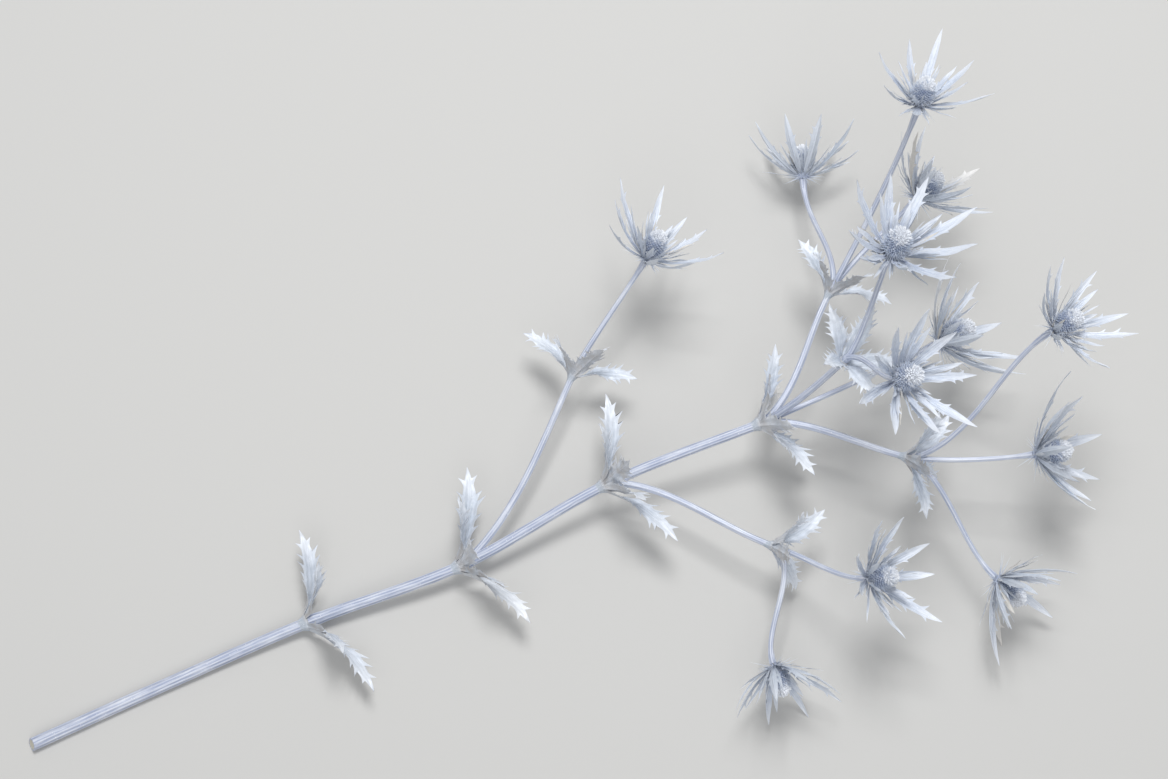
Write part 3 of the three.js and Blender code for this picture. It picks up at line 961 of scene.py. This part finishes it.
class SEAHOLLY_OT_whorls(Operator):
    """Grows a whorl of spiny leaf lobes at each joint"""

    bl_idname = "seaholly.whorls"
    bl_label = "Leaf whorls"

    def execute(self, context):
        settings, finish = context.scene.seaholly_leaf, context.scene.seaholly_finish
        joints = grown_plant()[2]
        teeth = (settings.lobe_teeth, *LOBE_TEETH)
        forms = [
            blade_form(LOBE, lobe_outline, settings.lobe_thickness, teeth, settings.tooth_reach,
                       LOBE_GRID, settings.pucker, seed)
            for seed in LOBE_SEEDS
        ]
        paint = blade_paint(
            "leaf_paint", finish, finish.leaf_shade, finish.leaf_under,
            # The depth is the painted shade between the veins; the foot share is thin paint and
            # painted shade at the foot.
            veins=1.5, depth=0.4, bare_below=0.85, thin_and_shaded_at_foot=0.35,
        )
        for index, (name, lobes) in enumerate(WHORLS.items()):
            joint = joints[name]
            draw = Draws(index + SEEDS["whorls"])
            chance = np.random.default_rng(index + SEEDS["whorls"])
            grown = Gathered()
            inner = (joint["radius"] / MM + GAP) / math.cos(math.pi / SHEATH["sides"])
            top = -SHEATH["below"]
            foot = top - SHEATH["length"]
            spring = (top + foot) / 2
            for around, length in lobes:
                blade = one_of(
                    LOBE, draw, length=length, foot=spring, root=inner + SHEATH["wall"] / 3,
                    width=LOBE["width"] * (0.7 + 0.3 * length / LOBE["length"]),
                    twist=-LOBE["turn"] * math.cos(math.radians(around)),
                    around=math.radians(around),
                )
                grown.add_blade(forms[chance.integers(len(forms))], blade, joint, chance)
            self.sheath(grown, joint, inner, foot, spring, lobes)
            grown.piece(f"leaves_{name}_spiny", paint, f"leaves_{name}")
        return {"FINISHED"}

    def sheath(self, grown, joint, inner, foot, spring, lobes):
        """The short sheath that clasps the stem and swells out where each of its lobes springs."""
        stem, outer = joint["radius"] / MM, inner + SHEATH["wall"]
        profile = (
            (stem * 0.84, foot - 3.4), (stem * 1.0, foot - 2.2), (inner - 0.1, foot - 0.9),
            (outer - 0.6, foot + 0.5), (outer - 0.2, spring - 0.2), (outer - 0.4, spring + 0.6),
            (inner + 0.2, spring + 1.1), (inner - 0.4, spring + 1.0), (stem * 0.7, foot),
            (stem * 0.84, foot - 3.4),
        )
        form = turned(in_metres(profile), 40)
        turn = np.arctan2(form.co[:, 1], form.co[:, 0])
        swell = np.zeros(len(turn))
        for around, _ in lobes:
            off = (turn - math.radians(around) + math.pi) % TURN - math.pi
            swell += np.exp(-((off / SHEATH_SWELL["width"]) ** 2))
        climb = np.clip((form.co[:, 2] / MM - foot) / (spring - foot), 0, 1)
        local = form.co.copy()
        wider = SHEATH_SWELL["out"] * swell - SHEATH_SWELL["waist"]
        local[:, :2] *= (1 + wider * climb)[:, None]
        grown.add(
            form, seated(local, joint), form.co[:, (0, 2, 1)],
            along=0.15 * climb, edge=0.3 + 0.3 * swell, under=0.2 + 0.6 * climb,
        )


class SEAHOLLY_OT_ruffs(Operator):
    """Grows each head's ruff of toothed bracts with its cup and bristles"""

    bl_idname = "seaholly.ruffs"
    bl_label = "Ruffs of bracts"

    def execute(self, context):
        settings, finish = context.scene.seaholly_head, context.scene.seaholly_finish
        reach, thick = settings.tooth_reach, settings.bract_thickness

        def bract_form(teeth, share, grid, pucker, seed):
            return blade_form(BRACT, bract_outline, thick, teeth, reach * share, grid, pucker, seed)

        wide, lesser = [], []
        for fewer, first, last, share, seed in BRACT_SHAPES:
            teeth = (max(settings.bract_teeth - fewer, 0), first, last)
            wide.append(bract_form(teeth, share, BRACT_GRID, BRACT_PUCKER * MM, seed))
        counts = (settings.inner_bracts, settings.narrow_bracts)
        for kind, number in zip((INNER_BRACT, NARROW_BRACT), counts):
            form = bract_form(kind["teeth"], kind["reach"], kind["grid"], 0.0, kind["seed"])
            lesser.append((form, kind, number))
        bristle = spike_form(4, 5)
        cup = turned(in_metres(CUP), 30)
        paint = blade_paint(
            "bract_paint", finish, finish.shade, finish.under,
            # The depth is the painted shade between the veins; the foot share is thin paint and
            # painted shade at the foot.
            veins=1.9, depth=0.26, bare_below=0.5, thin_and_shaded_at_foot=0.8,
        )
        for index, (name, head) in enumerate(grown_plant()[3].items()):
            draw = Draws(index + 1)
            chance = np.random.default_rng(index + SEEDS["ruffs"])
            grown = Gathered()
            count = BRACT["count"] - (head["size"] < SMALL_HEAD)
            step = TURN / count
            for i in range(count):
                around = head["spin"] + i * step + draw.spread(BRACT["vary"]["around"])
                length = BRACT["length"] * (1 + draw.spread(BRACT["vary"]["length"], 0.6))
                blade = one_of(BRACT, draw, length=length, around=around)
                grown.add_blade(wide[chance.integers(len(wide))], blade, head, chance)
            for form, kind, number in lesser:
                for i in range(number):
                    around = head["spin"] + (i + chance.uniform(0.2, 0.8)) * TURN / number
                    rise = chance.uniform(*kind["rise"])
                    width, length = (chance.uniform(*kind[key]) for key in ("width", "length"))
                    curl, twist = (chance.uniform(*LESSER[key]) for key in ("curl", "twist"))
                    blade = {
                        **LESSER, "around": around, "width": width, "length": length,
                        "rise": rise, "tip": rise + curl, "twist": twist,
                    }
                    grown.add_blade(form, blade, head, chance, kind["white"])
            self.bristles(grown, bristle, head, settings, chance)
            grown.add(cup, seated(cup.co, head), cup.co, along=0.1, tone=0.1)
            grown.piece(f"{name}_ruff", paint, f"{name}_bracts")
        return {"FINISHED"}

    def bristles(self, grown, form, head, settings, chance):
        """Fine bristles round the cup, most of them level or drooping. Steeper ones sit higher."""
        lowest, highest = BRISTLE["rise"]
        for i in range(settings.bristles):
            around = TURN * (i + chance.uniform(0, 0.8)) / settings.bristles
            length = settings.bristle_length * chance.uniform(*BRISTLE["length"])
            rise = chance.uniform(lowest, highest)
            foot = BRISTLE["foot"] + BRISTLE["climb"] * (rise - lowest) / (highest - lowest)
            radius, sag = (chance.uniform(*BRISTLE[key]) * MM for key in ("radius", "sag"))
            local = needle(form, length, radius, BRISTLE["root"] * MM, foot * MM, rise, around, sag)
            grain = form.co * (0.3 * MM, 0.3 * MM, length) + (0, 0, 0.1 * i)
            grown.add(form, seated(local, head), grain, edge=0.5, tone=chance.uniform(0.5, 1))


class SEAHOLLY_OT_cones(Operator):
    """Packs each head's cone with florets and their spikes"""

    bl_idname = "seaholly.cones"
    bl_label = "Cones of florets"

    def execute(self, context):
        settings, finish = context.scene.seaholly_head, context.scene.seaholly_finish
        radius, height = settings.cone_radius, settings.cone_height
        floret, pike = floret_form(), spike_form(4, 1)
        shaded_core = turned([self.egg(t, radius, height) for t in np.linspace(0, 1, 15)], 26)
        whiter = np.clip((shaded_core.co[:, 2] / height - CROWN) / CROWN_EDGE, 0, 1)
        paint = cone_paint(finish)
        for index, (name, head) in enumerate(grown_plant()[3].items()):
            chance = np.random.default_rng(index + SEEDS["cones"])
            grown = Gathered()
            # Below the crown the core's under mark lays painted shade, which shows between the
            # florets.
            grown.add(shaded_core, seated(shaded_core.co, head), shaded_core.co, edge=whiter, under=1 - 0.95 * whiter)
            for i in range(settings.florets):
                share, around = (i + 0.5) / settings.florets, i * math.pi * GOLDEN
                self.floret(grown, floret, pike, head, share, around, settings, chance)
            grown.piece(f"{name}_florets", paint, f"{name}_cone", smooth=50)
        return {"FINISHED"}

    def egg(self, t, radius, height):
        """The cone's side: radius and height at t, from foot to crown."""
        swing = math.pi * t
        swell = 1 + CONE_SWELL * math.cos(swing)
        return radius * math.sin(swing) * swell, height * (1 - math.cos(swing)) / 2 + GAP * MM

    def floret(self, grown, floret, pike, head, share, around, settings, chance):
        """One floret on the cone and the two spikes below it."""
        t = math.acos(1 - 2 * share) / math.pi
        radius, height = settings.cone_radius, settings.cone_height
        r, z = self.egg(t, radius, height)
        ahead, ahead_z = self.egg(t + 0.01, radius, height)
        climb = Vector((ahead - r, 0, ahead_z - z)).normalized()
        normal = Vector((climb.z, 0, -climb.x))
        crown = float(np.clip((share - CROWN) / CROWN_EDGE + chance.uniform(-0.5, 0.5), 0, 1))
        crown *= 1.0 if chance.uniform() < 1 - FLORET["dull"] else FLORET["dulled"]
        size = chance.uniform(*FLORET["vary"]) * (FLORET["size"] + FLORET["crown"] * crown) * MM
        tone = chance.uniform(0, 1)
        foot = Vector((r, 0, z)) - normal * FLORET["sunk"] * MM
        lean = Vector((0, chance.uniform(*FLORET["lean"]), 0))
        scale = [part * size for part in FLORET["shape"]]
        pieces = [(floret, normal + climb * FLORET["climb"] + lean, scale, foot, crown)]
        for side in (-1, 1):
            length = settings.spike_length * (SPIKE["longest"] - SPIKE["less"] * share)
            length *= chance.uniform(*SPIKE["vary"])
            sway = Vector((0, side * chance.uniform(*SPIKE["sway"]), 0))
            way = normal + climb * chance.uniform(*SPIKE["climb"]) + sway
            start = foot + Vector((0, side * SPIKE["aside"] * MM, 0)) - climb * SPIKE["below"] * MM
            scale = (*(part * MM for part in SPIKE["shape"]), length)
            pieces.append((pike, way, scale, start, SPIKE["white"] * crown))
        for form, way, scale, start, whitened in pieces:
            turn = way.to_track_quat("Z", "Y").to_matrix()
            co = (form.co * scale) @ np.array(turn.transposed()) + np.array(start)
            grown.add(form, seated(spun(co, around), head), form.co * MM, edge=whitened, tone=tone)


class SEAHOLLY_OT_stage(Operator):
    """Lays the pale table, hangs the soft lights and aims the camera down at the stem"""

    bl_idname = "seaholly.stage"
    bl_label = "Stage"

    def execute(self, context):
        settings = context.scene.seaholly_stage
        self.table(settings)
        self.lights(context)
        self.camera(context, settings)
        return {"FINISHED"}

    def table(self, settings):
        add = bpy.ops.mesh.primitive_plane_add
        table = primitive(add, size=TABLE_SIZE, location=(0, 0, -0.1 * MM))
        table.name = "table"
        material = bpy.data.materials.new("table_top")
        material.use_nodes = True
        shader = material.node_tree.nodes["Principled BSDF"]
        shader.inputs["Base Color"].default_value = (*settings.floor, 1)
        shader.inputs["Roughness"].default_value = 0.9
        shader.inputs["Specular IOR Level"].default_value = 0.2
        table.data.materials.append(material)

    def lights(self, context):
        world = bpy.data.worlds.new("soft_room")
        world.use_nodes = True
        background = world.node_tree.nodes["Background"]
        background.inputs["Color"].default_value = ROOM_COLOUR
        background.inputs["Strength"].default_value = ROOM_STRENGTH
        context.scene.world = world
        for name, (kind, place, settings) in (("key", KEY_LIGHT), ("fill", FILL_LIGHT)):
            data = bpy.data.lights.new(name, kind)
            for key, value in settings.items():
                setattr(data, key, value)
            light = linked(name, data)
            light.location = place
            light.rotation_euler = (-Vector(place)).to_track_quat("-Z", "Y").to_euler()
        context.scene.view_settings.view_transform = "Standard"

    def camera(self, context, settings):
        """A camera that looks down and stands just far enough off to take the whole stem in."""
        data = bpy.data.cameras.new("camera")
        data.lens, data.sensor_width = settings.lens, SENSOR_WIDTH
        camera = linked("camera", data)
        context.scene.camera = camera
        a, e = settings.azimuth, settings.elevation
        back = Vector((math.sin(a) * math.cos(e), -math.cos(a) * math.cos(e), math.sin(e)))
        turn = (-back).to_track_quat("-Z", "Y")
        right, up = turn @ Vector((1, 0, 0)), turn @ Vector((0, 1, 0))
        axes = np.array([right, up, back]).T
        points = np.concatenate([places_of(node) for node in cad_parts.values()]) @ axes
        half_width = SENSOR_WIDTH / 2 / data.lens * settings.fill
        half_height = half_width * PICTURE_ASPECT
        reach, middle = 3.0, np.zeros(2)
        for _ in range(30):  # by then it stands still
            shown = (points[:, :2] - middle) / (reach - points[:, 2:])
            low, high = shown.min(0), shown.max(0)
            middle += (low + high) / 2 * reach
            reach *= max((high - low) / 2 / (half_width, half_height))
        camera.location = axes @ np.array([*middle, reach])
        camera.rotation_mode = "QUATERNION"
        camera.rotation_quaternion = turn


class SEAHOLLY_PT_panel(Panel):
    """Sizes, colours and pieces of the sea holly stem"""

    bl_label = "Sea Holly"
    bl_idname = "SEAHOLLY_PT_panel"
    bl_space_type = "VIEW_3D"
    bl_region_type = "UI"
    bl_category = "Sea Holly"

    def draw(self, context):
        for group in GROUPS:
            settings = getattr(context.scene, group)
            box = self.layout.box()
            for name in settings.bl_rna.properties.keys():
                if name not in ("rna_type", "name"):
                    box.prop(settings, name)
        for operator in OPERATORS:
            self.layout.operator(operator.bl_idname)


GROUPS = {
    "seaholly_stem": SEAHOLLY_PG_stem,
    "seaholly_leaf": SEAHOLLY_PG_leaf,
    "seaholly_head": SEAHOLLY_PG_head,
    "seaholly_finish": SEAHOLLY_PG_finish,
    "seaholly_stage": SEAHOLLY_PG_stage,
}
OPERATORS = (
    SEAHOLLY_OT_stem, SEAHOLLY_OT_whorls, SEAHOLLY_OT_ruffs, SEAHOLLY_OT_cones, SEAHOLLY_OT_stage,
)
CLASSES = (*GROUPS.values(), *OPERATORS, SEAHOLLY_PT_panel)


def register():
    for cls in CLASSES:
        bpy.utils.register_class(cls)
    for name, group in GROUPS.items():
        setattr(bpy.types.Scene, name, PointerProperty(type=group))


def unregister():
    for name in GROUPS:
        delattr(bpy.types.Scene, name)
    for cls in reversed(CLASSES):
        bpy.utils.unregister_class(cls)


def main():
    """Builds every piece."""
    register()
    bpy.ops.seaholly.stem()
    bpy.ops.seaholly.whorls()
    bpy.ops.seaholly.ruffs()
    bpy.ops.seaholly.cones()
    bpy.ops.seaholly.stage()


if __name__ == "__main__":
    main()
